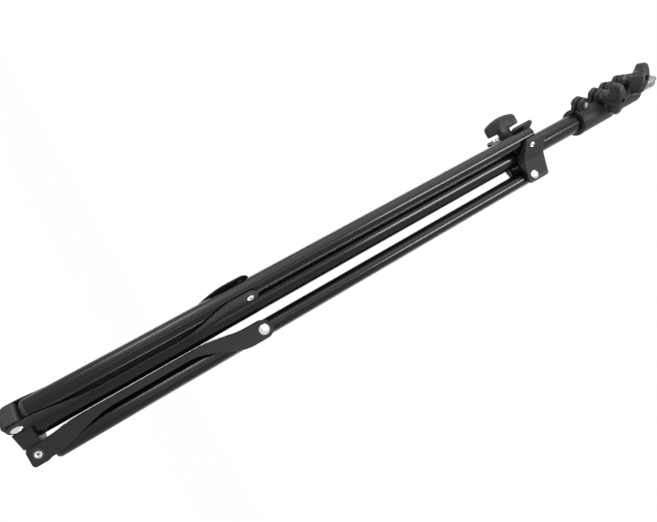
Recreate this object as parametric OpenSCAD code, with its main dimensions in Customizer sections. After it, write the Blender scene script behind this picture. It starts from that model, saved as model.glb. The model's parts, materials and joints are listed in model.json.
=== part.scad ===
// Folded light stand: three telescoping tubes, three legs on a sliding collar,
// three pressed stays on a fixed spider, two clamps with wing knobs and a 16 mm stud.
// Z runs up the column, and z = 0 is the underside of the spider.

/* [Column] */
// Outside diameter of the base tube
base_tube_d = 22; // [20:0.5:24]
// Wall of the three column tubes
tube_wall = 1.2; // [0.8:0.1:1.5]
// Radial gap between one column tube and the next
tube_gap = 0.3; // [0.2:0.05:0.5]
// Length of the base tube
base_tube_len = 661.5; // [620:0.5:700]
// Room between the plug and the bush of the closed middle tube
mid_foot_gap = 43.7; // [5:0.1:100]
// Room between the bushes of the closed middle and top tubes
top_foot_gap = 25.5; // [5:0.1:80]
// Thickness of the flange under the base tube
plug_flange = 2; // [1:0.5:4]
// Length of each plug and bush inside its tube
plug_len = 14; // [8:1:20]

/* [Stud] */
// Diameter of the stud, the usual light-fitting size
stud_d = 16; // [15.8:0.05:16]
// Length of the stud above the upper clamp
stud_out = 34; // [30:1:42]
// Chamfer at the foot of the stud, where it meets the tube
stud_foot_chamfer = 1; // [0.6:0.1:1.5]
// Length of the stud between its locking groove and its end
stud_head_len = 8; // [6:0.5:9]
// Length of the shank inside the top tube
stud_shank = 30; // [22:1:34]
// Diameter of the stud's locking groove
stud_waist_d = 13; // [11:0.5:14]
// Width of the stud's locking groove
stud_waist_w = 8; // [6:0.5:10]
// Thread diameter of the tip, a quarter or three eighths of an inch
tip_d = 6.35; // [6.35, 9.525]
// Length of the threaded tip
tip_len = 10; // [8:0.5:14]

/* [Spider] */
// Outside diameter of the spider's hub
spider_hub_d = 30; // [28:1:32]
// Height of the spider
spider_h = 14.5; // [12:0.5:16]
// Reach of each lug from the column's axis
spider_reach = 31; // [29:0.5:33]
// Depth of the arch in the lower edge between two lugs
arch_depth = 4.7; // [1:0.1:6]

/* [Collar] */
// Outside diameter of the collar's barrel
collar_hub_d = 28; // [27:0.5:29]
// Height of the collar
collar_h = 29; // [25:1:33]
// Thickness of each cheek
cheek_t = 3.2; // [2:0.2:4]
// Reach of each cheek from the column's axis
cheek_reach = 34.8; // [33:0.2:37]
// Height of the leg pivots above the collar's lower edge
collar_pivot_up = 9; // [8:0.5:12]
// Height of the locking knob above the collar's lower edge
collar_knob_up = 9.5; // [9:0.5:14]
// Diameter of the boss that carries the locking knob
boss_d = 16; // [14:0.5:17]
// Reach of the boss from the column's axis
boss_reach = 21; // [19:0.5:22]
// Thickness of the brake pad under the knob's bolt
pad_len = 3; // [2:0.5:4]

/* [Legs] */
// Outside diameter of a leg
leg_d = 16; // [14:0.5:17]
// Wall of a leg
leg_wall = 1.2; // [0.8:0.1:2]
// Distance from the column's axis to a folded leg's axis
leg_r = 26.4; // [26:0.1:28]
// Gap between the spider and the foot of a folded leg
leg_foot_gap = 3; // [2:0.5:6]
// Length of a leg above its upper pivot
leg_over = 9; // [6:0.5:9]
// Thickness of the cap under a leg
cap_t = 3; // [2:0.5:5]

/* [Pivots] */
// Distance from the column's axis to a spider pivot
spider_pivot_r = 22.5; // [21:0.5:23.5]
// Height of the spider pivots
spider_pivot_z = 8; // [7:0.5:8.5]
// Height of the pivots between stays and legs
mid_pivot_z = 208.5; // [190:0.5:230]
// Distance from the column's axis to a collar pivot
collar_pivot_r = 27.4; // [26.5:0.1:28]
// Distance from the base tube's upper end down to the folded collar's pivots
collar_drop = 116.5; // [100:0.5:160]
// Diameter of the rivets
rivet_d = 4.8; // [4:0.2:5.6]
// Diameter of a rivet's domed head
rivet_head_d = 10; // [8:0.2:11]
// Diameter of a rivet's rolled tail
rivet_tail_d = 7; // [6.6:0.2:8]

/* [Stays] */
// Thickness of the pressed steel
stay_t = 1.2; // [0.8:0.1:1.6]
// Distance from the column's axis to the back of a stay's web
stay_web_r = 11.7; // [11.5:0.1:12.5]
// Distance from the column's axis to the front of the waist
stay_waist_r = 17.9; // [16:0.1:20]
// Radius of the upper ears
stay_ear_top = 8.6; // [7.5:0.1:9]
// Radius of the lower ears
stay_ear_low = 7.3; // [6.5:0.1:7.5]
// Length of the bend by which the back edge leaves the lower ear
low_back_run = 37; // [30:1:45]
// Distance above the lower pivot where the front edge starts to draw in
low_front_start = 6; // [4:1:8]
// Length over which the front edge draws in
low_front_run = 58; // [45:1:65]
// Distance below the upper pivot where the back edge starts to bend out
high_back_start = 58; // [50:1:66]
// Length of the bend by which the back edge meets the upper ear
high_back_run = 46; // [36:1:50]
// Distance below the upper pivot where the front edge starts to widen
high_front_start = 68; // [60:1:76]
// Length over which the front edge widens
high_front_run = 54; // [44:1:60]
// Distance from the lower pivot up to the web
web_low_gap = 22; // [18:1:28]
// Distance from the web up to the upper pivot
web_high_gap = 28; // [24:1:36]

/* [Clamps] */
// Outside diameter of the lower clamp
clamp_1_d = 30.6; // [29:0.2:32]
// Length of the lower clamp
clamp_1_len = 62; // [58:0.5:70]
// Length of tube held in the lower clamp
clamp_1_grip = 30; // [26:0.5:32]
// Turn of the lower clamp's ears about the column
clamp_1_turn = 217; // [0:1:359]
// Outside diameter of the upper clamp
clamp_2_d = 26.6; // [26:0.2:28]
// Length of the upper clamp
clamp_2_len = 49.5; // [47:0.5:58]
// Length of tube held in the upper clamp
clamp_2_grip = 22; // [18:0.5:24]
// Turn of the upper clamp's ears about the column
clamp_2_turn = 200; // [0:1:359]
// Turn of the lower clamp's wings about their bolt
clamp_1_wing_turn = 0; // [-180:1:180]
// Turn of the upper clamp's wings about their bolt
clamp_2_wing_turn = -32; // [-180:1:180]
// Radius of the rounded ears
ear_r = 7.5; // [7:0.1:8]
// Width across a pair of ears
ear_w = 13; // [12:0.5:14]
// Width of the slit between two ears
slit_w = 2.5; // [1.5:0.5:3]
// Distance from a sleeve's surface to its bolts
ear_out = 4.7; // [4:0.1:6]
// Distance from a sleeve's end to the bolt next to it
ear_end = 17; // [16:0.5:18]
// Distance between the two bolts of the upper clamp
clamp_2_pitch = 23; // [20:0.5:24]
// Height of the raised lip at a sleeve's lower end
lip_h = 2.2; // [1:0.2:4]
// How far the lip stands out
lip_out = 0.8; // [0.4:0.1:1.2]
// Diameter of the fixing bolts
fixing_bolt_d = 5; // [4:0.5:5]
// Width of a fixing nut across its flats
fixing_nut_w = 8; // [7:0.5:8]
// Diameter of the bolts turned by the wing knobs
knob_bolt_d = 6; // [5:0.5:6]
// Width of a knob bolt's nut across its flats
knob_nut_w = 10; // [8:0.5:10]

/* [Knobs] */
// Span of the wings
wing_span = 36; // [32:1:40]
// Height of the wings at the crown
crown_h = 15.5; // [13:0.5:18]
// Height of the wings at their tips
wing_tip_h = 11; // [8:0.5:12]
// Thickness of the wings at their tips
wing_tip_t = 8.4; // [6:0.2:9]
// Thickness of the wings at the middle
wing_mid_t = 13; // [11:0.2:14]
// Diameter of the dimple in the crown
dimple_d = 5.6; // [4:0.2:7]
// Depth of the dimple
dimple_depth = 4; // [2:0.5:5]
// Diameter of the collar knob's neck
neck_d = 11; // [10.5:0.5:13]
// Length of the collar knob's neck
neck_h = 8.5; // [8:0.5:10]
// Diameter of a clamp knob's hub
hub_d = 15; // [13:0.5:16]
// Length of a clamp knob's hub
hub_h = 10; // [9.5:0.5:12]
// Diameter of the collar knob's bolt
collar_bolt_d = 8; // [6:0.5:8]

/* [Clearances] */
// Radial gap of a pin or shaft that turns or slides
run_gap = 0.05; // [0.02:0.01:0.1]
// Radial gap of pieces that are fitted together and stay so
seat_gap = 0.05; // [0.02:0.01:0.1]
// Gap beside a stay's flange, a lug or a leg that swings
side_gap = 0.3; // [0.2:0.05:0.4]
// Gap under a turning head or between parts that meet face to face
face_gap = 0.2; // [0.1:0.05:0.3]

/* [Hidden] */
$fn = 64;
// Cutting shapes run this far past the surface that they open
cut = 1;

// Directions of the three legs about the column
turn_a = 0;
turn_b = 240;
turn_c = 120;
turns = [turn_a, turn_b, turn_c];

// The column's tubes fit one inside the other
base_r = base_tube_d / 2;
base_bore_r = base_r - tube_wall;
mid_r = base_bore_r - tube_gap;
mid_bore_r = mid_r - tube_wall;
top_r = mid_bore_r - tube_gap;
top_bore_r = top_r - tube_wall;

// Heights along the column, from the plug up to the stud
base_z = plug_flange;
base_top = base_z + base_tube_len;
clamp_1_z = base_top - clamp_1_grip;
clamp_1_top = clamp_1_z + clamp_1_len;
clamp_2_z = clamp_1_top + face_gap;
clamp_2_top = clamp_2_z + clamp_2_len;
bush_flange = 3;
bush_edge = 0.6;
bush_lead = 1;
bush_wall = 2.5;
plug_wall = 2;
mid_z = base_z + plug_len + mid_foot_gap + bush_flange;
mid_top = clamp_2_z + clamp_2_grip;
top_z = mid_z + plug_len + top_foot_gap + bush_flange;
top_top = clamp_2_top;
stud_edge = 1.2;
tip_edge = 0.8;
stud_pin_d = 3;
pin_sunk = 0.5;

// The collar and the legs
collar_pivot_z = base_top - collar_drop;
collar_z = collar_pivot_z - collar_pivot_up;
collar_bore_r = base_r + run_gap;
leg_side = leg_d / 2 + side_gap;
cheek_out = leg_side + cheek_t;
pad_tip = base_r + side_gap;
cheek_corner = 4;
cheek_root = 3;
cheek_bite = 0.2;
cap_edge = 0.5;
leg_foot_z = spider_h + leg_foot_gap;
leg_top_z = collar_pivot_z + leg_over;

// The stays straddle the legs and the spider's lugs
lug_side = leg_d / 2;
lug_corner = 3;
arch_r = 16;
flange_out = leg_side + stay_t;
rivet_head_h = 2.4;
rivet_tail_h = 1.2;
rivet_tail_dent = 1.8;
head_seat = flange_out + face_gap;

// The clamps' ears and bolts
ear_ring = 1;
ear_ring_in = 1.2;
ear_root = 2;
clamp_edge = 1.5;
hex = 2 / sqrt(3);
nut_h = 4;
nut_proud = 1;
nut_pocket_gap = 0.5;
bolt_head_h = 3;
bolt_head_ratio = 1.8;
knob_roof = 1.5;
knob_face = ear_w / 2 + ear_ring;
nut_seat = ear_w / 2 - nut_h + nut_proud;
clamp_1_fix_z = clamp_1_z + ear_end;
clamp_1_lock_z = clamp_1_top - ear_end;
clamp_2_lock_z = clamp_2_top - ear_end;
clamp_2_fix_z = clamp_2_lock_z - clamp_2_pitch;

// Smooth step from 0 to 1
function ease(t) = t <= 0 ? 0 : t >= 1 ? 1 : t * t * (3 - 2 * t);

// Back and front edges of a stay's flange at height z
function stay_back(z) =
    z < mid_pivot_z / 2
    ? (spider_pivot_r - stay_ear_low)
        + (stay_web_r - spider_pivot_r + stay_ear_low)
            * ease((z - spider_pivot_z) / low_back_run)
    : stay_web_r
        + (leg_r - stay_ear_top - stay_web_r)
            * ease((z - mid_pivot_z + high_back_start) / high_back_run);
function stay_front(z) =
    z < mid_pivot_z / 2
    ? (spider_pivot_r + stay_ear_low)
        + (stay_waist_r - spider_pivot_r - stay_ear_low)
            * ease((z - spider_pivot_z - low_front_start) / low_front_run)
    : stay_waist_r
        + (leg_r + stay_ear_top - stay_waist_r)
            * ease((z - mid_pivot_z + high_front_start) / high_front_run);
stay_steps = 36;

// Turns a drawing of radius and height into a plate from side t0 to side t1
module radial_plate(t0, t1) {
    translate([0, t1, 0])
        rotate([90, 0, 0])
            linear_extrude(height = t1 - t0)
                children();
}

// A round bar across an arm, at radius r and height z, from side t0 to side t1
module cross_bar(r, z, d, t0, t1) {
    translate([r, t1, z])
        rotate([90, 0, 0])
            cylinder(d = d, h = t1 - t0);
}

// A tube standing on z0
module tube(r, bore_r, z0, len) {
    translate([0, 0, z0])
        difference() {
            cylinder(r = r, h = len);
            translate([0, 0, -cut])
                cylinder(r = bore_r, h = len + 2 * cut);
        }
}

// Bush on a tube's foot: a collar below the tube and a sleeve inside it
module bush(collar_r, sleeve_r, bore_r, z_top) {
    translate([0, 0, z_top - bush_flange])
        rotate_extrude()
            polygon([
                [bore_r, 0], [collar_r - bush_edge, 0], [collar_r, bush_edge],
                [collar_r, bush_flange], [sleeve_r, bush_flange],
                [sleeve_r, bush_flange + plug_len - bush_lead],
                [sleeve_r - bush_lead, bush_flange + plug_len], [bore_r, bush_flange + plug_len]
            ]);
}

module base_tube() {
    color("#1b1c1e")
        tube(base_r, base_bore_r, base_z, base_tube_len);
}

// Cup-shaped plastic plug, its flange under the end of the base tube
module base_plug() {
    plug_r = base_bore_r - seat_gap;
    color("#232426")
        rotate_extrude()
            polygon([
                [0, 0], [base_r, 0], [base_r, plug_flange], [plug_r, plug_flange],
                [plug_r, plug_flange + plug_len], [plug_r - plug_wall, plug_flange + plug_len],
                [plug_r - plug_wall, plug_flange], [0, plug_flange]
            ]);
}

module mid_tube() {
    color("#1b1c1e")
        tube(mid_r, mid_bore_r, mid_z, mid_top - mid_z);
}

module mid_tube_bush() {
    color("#2a2b2d")
        bush(base_bore_r - run_gap, mid_bore_r - seat_gap, mid_bore_r - bush_wall, mid_z);
}

module top_tube() {
    color("#1b1c1e")
        difference() {
            tube(top_r, top_bore_r, top_z, top_top - top_z);
            translate([0, 0, top_top - stud_shank / 2])
                rotate([90, 0, 0])
                    cylinder(d = stud_pin_d + 2 * seat_gap, h = 4 * top_r, center = true);
        }
}

module top_tube_bush() {
    color("#2a2b2d")
        bush(mid_bore_r - run_gap, top_bore_r - seat_gap, top_bore_r - bush_wall, top_z);
}

// The stud: a shank in the top tube, the grooved spigot, a turned tip for the thread
module stud() {
    stud_r = stud_d / 2;
    waist_r = stud_waist_d / 2;
    end_z = clamp_2_top + stud_out;
    groove_z = end_z - stud_waist_w - stud_head_len;
    step = stud_r - waist_r;
    color("#c9cbcd")
        difference() {
            rotate_extrude()
                polygon([
                    [0, top_top - stud_shank], [top_bore_r - seat_gap, top_top - stud_shank],
                    [top_bore_r - seat_gap, top_top],
                    [stud_r - stud_foot_chamfer, top_top], [stud_r, top_top + stud_foot_chamfer],
                    [stud_r, groove_z], [waist_r, groove_z + step],
                    [waist_r, groove_z + stud_waist_w - step], [stud_r, groove_z + stud_waist_w],
                    [stud_r, end_z - stud_edge], [stud_r - stud_edge, end_z],
                    [tip_d / 2, end_z], [tip_d / 2, end_z + tip_len - tip_edge],
                    [tip_d / 2 - tip_edge, end_z + tip_len], [0, end_z + tip_len]
                ]);
            translate([0, 0, top_top - stud_shank / 2])
                rotate([90, 0, 0])
                    cylinder(d = stud_pin_d + 2 * seat_gap, h = 4 * stud_r, center = true);
        }
}

// Cross pin that holds the shank, flush with the tube
module stud_pin() {
    color("#b9bbbd")
        translate([0, 0, top_top - stud_shank / 2])
            rotate([90, 0, 0])
                cylinder(d = stud_pin_d, h = 2 * (top_r - pin_sunk), center = true);
}

// Side outline of one lug, from inside the hub to its rounded outer end
module lug_outline() {
    corner = lug_corner;
    translate([0, corner])
        square([spider_reach, spider_h - 2 * corner]);
    square([spider_reach - corner, spider_h]);
    translate([spider_reach - corner, corner])
        circle(r = corner);
    translate([spider_reach - corner, spider_h - corner])
        circle(r = corner);
}

// Fixed spider: a hub on the foot of the base tube with a lug for each stay
module spider() {
    color("#2b2c2e")
        difference() {
            union() {
                cylinder(d = spider_hub_d, h = spider_h);
                for (turn = turns)
                    rotate([0, 0, turn])
                        radial_plate(-lug_side, lug_side)
                            lug_outline();
            }
            translate([0, 0, -cut])
                cylinder(r = base_r + seat_gap, h = spider_h + 2 * cut);
            for (turn = turns) {
                rotate([0, 0, turn])
                    cross_bar(spider_pivot_r, spider_pivot_z, rivet_d + 2 * seat_gap,
                        -lug_side - cut, lug_side + cut);
                rotate([0, 0, turn + 60])
                    translate([0, 0, arch_depth - arch_r])
                        rotate([0, 90, 0])
                            cylinder(r = arch_r, h = 2 * spider_reach);
            }
        }
}

// Domed rivet head, its flat side at z = 0
module rivet_head() {
    dome_r = (rivet_head_d * rivet_head_d / 4 + rivet_head_h * rivet_head_h) / (2 * rivet_head_h);
    intersection() {
        translate([0, 0, rivet_head_h - dome_r])
            sphere(r = dome_r);
        cylinder(d = rivet_head_d, h = rivet_head_h);
    }
}

// Rolled rivet tail: a ring round the hollow end of the shank
module rivet_tail() {
    difference() {
        cylinder(d = rivet_tail_d, h = rivet_tail_h);
        translate([0, 0, rivet_tail_h - rivet_tail_dent / 2])
            cylinder(r = rivet_tail_dent, h = rivet_tail_h);
    }
}

// Rivet across an arm at radius r and height z. The head sits at side +seat or -seat.
module cross_rivet(r, z, seat, head_side) {
    translate([r, 0, z])
        rotate([-90 * head_side, 0, 0]) {
            translate([0, 0, -seat])
                cylinder(d = rivet_d, h = 2 * seat);
            translate([0, 0, seat])
                rivet_head();
            translate([0, 0, -seat])
                rotate([180, 0, 0])
                    rivet_tail();
        }
}

module spider_rivets() {
    color("#d4d5d6")
        for (turn = turns)
            rotate([0, 0, turn])
                cross_rivet(spider_pivot_r, spider_pivot_z, head_seat, 1);
}

// Side outline of a collar cheek, which starts inside the barrel however thick the leg is
module cheek_outline() {
    corner = cheek_corner;
    hub_r = collar_hub_d / 2;
    hub_side = sqrt(hub_r * hub_r - leg_side * leg_side);
    inner = min(hub_r - cheek_root, hub_side - cheek_bite);
    width = cheek_reach - inner;
    translate([inner, corner])
        square([width, collar_h - 2 * corner]);
    translate([inner, 0])
        square([width - corner, collar_h]);
    translate([cheek_reach - corner, corner])
        circle(r = corner);
    translate([cheek_reach - corner, collar_h - corner])
        circle(r = corner);
}

// Sliding collar: a barrel with a pair of cheeks for each leg and a boss for the knob
module collar() {
    knob_z = collar_knob_up;
    color("#2b2c2e")
        translate([0, 0, collar_z])
            difference() {
                union() {
                    cylinder(d = collar_hub_d, h = collar_h);
                    for (turn = turns)
                        rotate([0, 0, turn]) {
                            radial_plate(leg_side, cheek_out)
                                cheek_outline();
                            radial_plate(-cheek_out, -leg_side)
                                cheek_outline();
                        }
                    translate([-boss_reach, 0, knob_z])
                        rotate([0, 90, 0])
                            cylinder(d = boss_d, h = boss_reach - base_r);
                }
                translate([0, 0, -cut])
                    cylinder(r = collar_bore_r, h = collar_h + 2 * cut);
                translate([-boss_reach - cut, 0, knob_z])
                    rotate([0, 90, 0])
                        cylinder(d = collar_bolt_d + 2 * run_gap, h = boss_reach);
                for (turn = turns)
                    rotate([0, 0, turn])
                        cross_bar(collar_pivot_r, collar_pivot_up, rivet_d + 2 * seat_gap,
                            -cheek_out - cut, cheek_out + cut);
            }
}

module collar_brake_pad() {
    color("#6a5b48")
        translate([-pad_tip - pad_len, 0, collar_z + collar_knob_up])
            rotate([0, 90, 0])
                cylinder(d = collar_bolt_d - run_gap, h = pad_len);
}

// Half of a collar rivet: the stub stays inside its cheek, so that the leg passes freely
module rivet_stub(side) {
    translate([collar_pivot_r, 0, collar_pivot_z])
        rotate([-90 * side, 0, 0])
            translate([0, 0, leg_side]) {
                cylinder(d = rivet_d, h = cheek_t);
                translate([0, 0, cheek_t])
                    children();
            }
}

module collar_rivets() {
    color("#d4d5d6")
        for (turn = turns)
            rotate([0, 0, turn]) {
                rivet_stub(-1)
                    rivet_head();
                rivet_stub(1)
                    rivet_tail();
            }
}

// One leg: a tube with a hole for each of its two pivots
module leg(turn) {
    tube_z = leg_foot_z + cap_t;
    hole_d = rivet_d + 2 * run_gap;
    color("#1b1c1e")
        rotate([0, 0, turn])
            difference() {
                translate([leg_r, 0, 0])
                    tube(leg_d / 2, leg_d / 2 - leg_wall, tube_z, leg_top_z - tube_z);
                cross_bar(leg_r, mid_pivot_z, hole_d, -leg_d, leg_d);
                cross_bar(collar_pivot_r, collar_pivot_z, hole_d, -leg_d, leg_d);
            }
}

// Rounded cap in the foot of a leg
module leg_cap(turn) {
    plug_r = leg_d / 2 - leg_wall - seat_gap;
    round_r = cap_t - cap_edge;
    color("#202123")
        rotate([0, 0, turn])
            translate([leg_r, 0, leg_foot_z])
                rotate_extrude()
                    union() {
                        square([leg_d / 2 - round_r, cap_t]);
                        intersection() {
                            translate([leg_d / 2 - round_r, round_r])
                                circle(r = round_r);
                            square([leg_d / 2, cap_t]);
                        }
                        translate([0, round_r])
                            square([leg_d / 2, cap_t - round_r]);
                        square([plug_r, cap_t + plug_len]);
                    }
}

module mid_rivet(turn) {
    color("#d4d5d6")
        rotate([0, 0, turn])
            cross_rivet(leg_r, mid_pivot_z, head_seat, -1);
}

// Flange of a stay, drawn in radius and height: round ears and a drawn-in waist
module flange_outline() {
    z_low = spider_pivot_z;
    z_high = mid_pivot_z;
    step = (z_high - z_low) / stay_steps;
    back = [for (i = [0 : stay_steps]) [stay_back(z_low + i * step), z_low + i * step]];
    front = [for (i = [stay_steps : -1 : 0]) [stay_front(z_low + i * step), z_low + i * step]];
    polygon(concat(back, front));
    translate([spider_pivot_r, spider_pivot_z])
        circle(r = stay_ear_low);
    translate([leg_r, mid_pivot_z])
        circle(r = stay_ear_top);
}

// Web of a stay, a strip along the flanges' back edge that stops short of the ears
module web_outline() {
    z_low = spider_pivot_z + web_low_gap;
    z_high = mid_pivot_z - web_high_gap;
    step = (z_high - z_low) / stay_steps;
    back = [for (i = [0 : stay_steps]) [stay_back(z_low + i * step), z_low + i * step]];
    front = [
        for (i = [stay_steps : -1 : 0])
            [stay_back(z_low + i * step) + stay_t, z_low + i * step]
    ];
    polygon(concat(back, front));
}

// Pressed stay: a U channel with its web to the column and its flanges astride the leg
module stay(turn) {
    color("#313234")
        rotate([0, 0, turn])
            difference() {
                union() {
                    radial_plate(leg_side, flange_out)
                        flange_outline();
                    radial_plate(-flange_out, -leg_side)
                        flange_outline();
                    radial_plate(-flange_out, flange_out)
                        web_outline();
                }
                cross_bar(spider_pivot_r, spider_pivot_z, rivet_d + 2 * run_gap,
                    -flange_out - cut, flange_out + cut);
                cross_bar(leg_r, mid_pivot_z, rivet_d + 2 * run_gap,
                    -flange_out - cut, flange_out + cut);
            }
}

// Outline of an ear in radius and height: a disc on a neck that runs into the sleeve
module ear_outline(sleeve_r, z) {
    translate([sleeve_r + ear_out, z])
        circle(r = ear_r);
    translate([sleeve_r - ear_root, z - ear_r])
        square([ear_out + ear_root, 2 * ear_r]);
}

// Split sleeve on two tubes, with a fixed bolt near one end and the wing knob's near the other
module clamp_body(sleeve_d, z0, len, grip, low_r, high_r, fix_z, lock_z) {
    sleeve_r = sleeve_d / 2;
    bolt_r = sleeve_r + ear_out;
    color("#333436")
        difference() {
            union() {
                translate([0, 0, z0])
                    cylinder(r = sleeve_r + lip_out, h = lip_h);
                translate([0, 0, z0])
                    cylinder(r = sleeve_r, h = len - clamp_edge);
                translate([0, 0, z0 + len - clamp_edge])
                    cylinder(r1 = sleeve_r, r2 = sleeve_r - clamp_edge, h = clamp_edge);
                radial_plate(-ear_w / 2, ear_w / 2) {
                    ear_outline(sleeve_r, fix_z);
                    ear_outline(sleeve_r, lock_z);
                }
                cross_bar(bolt_r, lock_z, 2 * (ear_r - ear_ring_in), -knob_face, knob_face);
            }
            translate([0, 0, z0 - cut])
                cylinder(r = low_r + seat_gap, h = grip + cut);
            translate([0, 0, z0])
                cylinder(r = high_r + run_gap, h = len + cut);
            translate([0, -slit_w / 2, z0 - cut])
                cube([bolt_r + ear_r + cut, slit_w, len + 2 * cut]);
            cross_bar(bolt_r, fix_z, fixing_bolt_d + 2 * seat_gap, -ear_w, ear_w);
            cross_bar(bolt_r, fix_z, fixing_nut_w * hex + 2 * nut_pocket_gap, nut_seat, ear_w);
            cross_bar(bolt_r, lock_z, knob_bolt_d + 2 * run_gap, -ear_w, ear_w);
            cross_bar(bolt_r, lock_z, hub_d + 2 * side_gap, knob_face, 2 * ear_w);
            cross_hex(bolt_r, lock_z, knob_nut_w + 2 * seat_gap, -ear_w, nut_h - knob_face);
        }
}

// Six-sided bar across an arm, from side t0 to side t1
module cross_hex(r, z, width, t0, t1) {
    translate([r, t1, z])
        rotate([90, 0, 0])
            cylinder(d = width * hex, h = t1 - t0, $fn = 6);
}

// Nut across an arm, bored for its bolt
module cross_nut(r, z, width, bore_d, t0, t1) {
    difference() {
        cross_hex(r, z, width, t0, t1);
        cross_bar(r, z, bore_d, t0 - cut, t1 + cut);
    }
}

// Fixing bolt, its head on the far ear and its nut sunk into the near one
module fixing_bolt(sleeve_d, z) {
    bolt_r = sleeve_d / 2 + ear_out;
    seat = ear_w / 2;
    color("#c4c6c8") {
        cross_bar(bolt_r, z, fixing_bolt_d, -seat, nut_seat + nut_h + nut_proud);
        cross_bar(bolt_r, z, fixing_bolt_d * bolt_head_ratio, -seat - bolt_head_h, -seat);
        cross_nut(bolt_r, z, fixing_nut_w, fixing_bolt_d + 2 * seat_gap, nut_seat, nut_seat + nut_h);
    }
}

// Outline of a knob's wings seen along its bolt: a bar, thickest in the middle
module wing_plan() {
    tip_x = (wing_span - wing_tip_t) / 2;
    circle(d = wing_mid_t);
    for (side = [-1, 1])
        translate([side * tip_x, 0])
            circle(d = wing_tip_t);
    polygon([
        [-tip_x, -wing_tip_t / 2], [0, -wing_mid_t / 2], [tip_x, -wing_tip_t / 2],
        [tip_x, wing_tip_t / 2], [0, wing_mid_t / 2], [-tip_x, wing_tip_t / 2]
    ]);
}

// Wing knob standing on z = 0: a stem, then wings under an arched crown with a dimple
module wing_knob(stem_d, stem_h, bolt_d) {
    rise = crown_h - wing_tip_h;
    half = wing_span / 2;
    arch_r = (half * half + rise * rise) / (2 * rise);
    difference() {
        union() {
            cylinder(d = stem_d, h = stem_h + cut);
            intersection() {
                translate([0, 0, stem_h])
                    linear_extrude(height = crown_h)
                        wing_plan();
                translate([0, wing_mid_t, stem_h + crown_h - arch_r])
                    rotate([90, 0, 0])
                        cylinder(r = arch_r, h = 2 * wing_mid_t);
            }
        }
        translate([0, 0, -cut])
            cylinder(d = bolt_d + 2 * seat_gap, h = bolt_in(stem_h) + cut);
        translate([0, 0, stem_h + crown_h - dimple_depth])
            cylinder(d = dimple_d, h = dimple_depth + cut);
    }
}

// How far a knob's bolt reaches into it
function bolt_in(stem_h) = stem_h + crown_h - dimple_depth - knob_roof;

module collar_knob() {
    color("#37383a")
        translate([-boss_reach - face_gap, 0, collar_z + collar_knob_up])
            rotate([0, -90, 0])
                wing_knob(neck_d, neck_h, collar_bolt_d);
}

module collar_knob_bolt() {
    start = pad_tip + pad_len + run_gap;
    color("#9b9da0")
        translate([-start, 0, collar_z + collar_knob_up])
            rotate([0, -90, 0])
                cylinder(d = collar_bolt_d, h = boss_reach + face_gap + bolt_in(neck_h) - start);
}

// A clamp's knob on its near ear, with its wings turned about the bolt
module clamp_knob(sleeve_d, z, wing_turn) {
    color("#37383a")
        translate([sleeve_d / 2 + ear_out, knob_face + face_gap, z])
            rotate([-90, 0, 0])
                rotate([0, 0, wing_turn])
                    wing_knob(hub_d, hub_h, knob_bolt_d);
}

module clamp_knob_bolt(sleeve_d, z) {
    color("#9b9da0")
        cross_bar(sleeve_d / 2 + ear_out, z, knob_bolt_d, -knob_face,
            knob_face + face_gap + bolt_in(hub_h));
}

module clamp_nut(sleeve_d, z) {
    color("#9b9da0")
        cross_nut(sleeve_d / 2 + ear_out, z, knob_nut_w, knob_bolt_d + 2 * run_gap,
            -knob_face, nut_h - knob_face);
}

// Lower clamp, fixed on the base tube
module clamp_1_body() {
    rotate([0, 0, clamp_1_turn])
        clamp_body(clamp_1_d, clamp_1_z, clamp_1_len, clamp_1_grip, base_r, mid_r,
            clamp_1_fix_z, clamp_1_lock_z);
}

module clamp_1_fixing_bolt() {
    rotate([0, 0, clamp_1_turn])
        fixing_bolt(clamp_1_d, clamp_1_fix_z);
}

module clamp_1_knob() {
    rotate([0, 0, clamp_1_turn])
        clamp_knob(clamp_1_d, clamp_1_lock_z, clamp_1_wing_turn);
}

module clamp_1_knob_bolt() {
    rotate([0, 0, clamp_1_turn])
        clamp_knob_bolt(clamp_1_d, clamp_1_lock_z);
}

module clamp_1_nut() {
    rotate([0, 0, clamp_1_turn])
        clamp_nut(clamp_1_d, clamp_1_lock_z);
}

// Upper clamp, fixed on the middle tube
module clamp_2_body() {
    rotate([0, 0, clamp_2_turn])
        clamp_body(clamp_2_d, clamp_2_z, clamp_2_len, clamp_2_grip, mid_r, top_r,
            clamp_2_fix_z, clamp_2_lock_z);
}

module clamp_2_fixing_bolt() {
    rotate([0, 0, clamp_2_turn])
        fixing_bolt(clamp_2_d, clamp_2_fix_z);
}

module clamp_2_knob() {
    rotate([0, 0, clamp_2_turn])
        clamp_knob(clamp_2_d, clamp_2_lock_z, clamp_2_wing_turn);
}

module clamp_2_knob_bolt() {
    rotate([0, 0, clamp_2_turn])
        clamp_knob_bolt(clamp_2_d, clamp_2_lock_z);
}

module clamp_2_nut() {
    rotate([0, 0, clamp_2_turn])
        clamp_nut(clamp_2_d, clamp_2_lock_z);
}

base_tube();
base_plug();
mid_tube();
mid_tube_bush();
top_tube();
top_tube_bush();
stud();
stud_pin();
spider();
spider_rivets();
collar();
collar_brake_pad();
collar_knob();
collar_knob_bolt();
collar_rivets();
leg(turn_a);  // leg_a
leg(turn_b);  // leg_b
leg(turn_c);  // leg_c
leg_cap(turn_a);  // leg_cap_a
leg_cap(turn_b);  // leg_cap_b
leg_cap(turn_c);  // leg_cap_c
mid_rivet(turn_a);  // mid_rivet_a
mid_rivet(turn_b);  // mid_rivet_b
mid_rivet(turn_c);  // mid_rivet_c
stay(turn_a);  // stay_a
stay(turn_b);  // stay_b
stay(turn_c);  // stay_c
clamp_1_body();
clamp_1_fixing_bolt();
clamp_1_knob();
clamp_1_knob_bolt();
clamp_1_nut();
clamp_2_body();
clamp_2_fixing_bolt();
clamp_2_knob();
clamp_2_knob_bolt();
clamp_2_nut();
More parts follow.
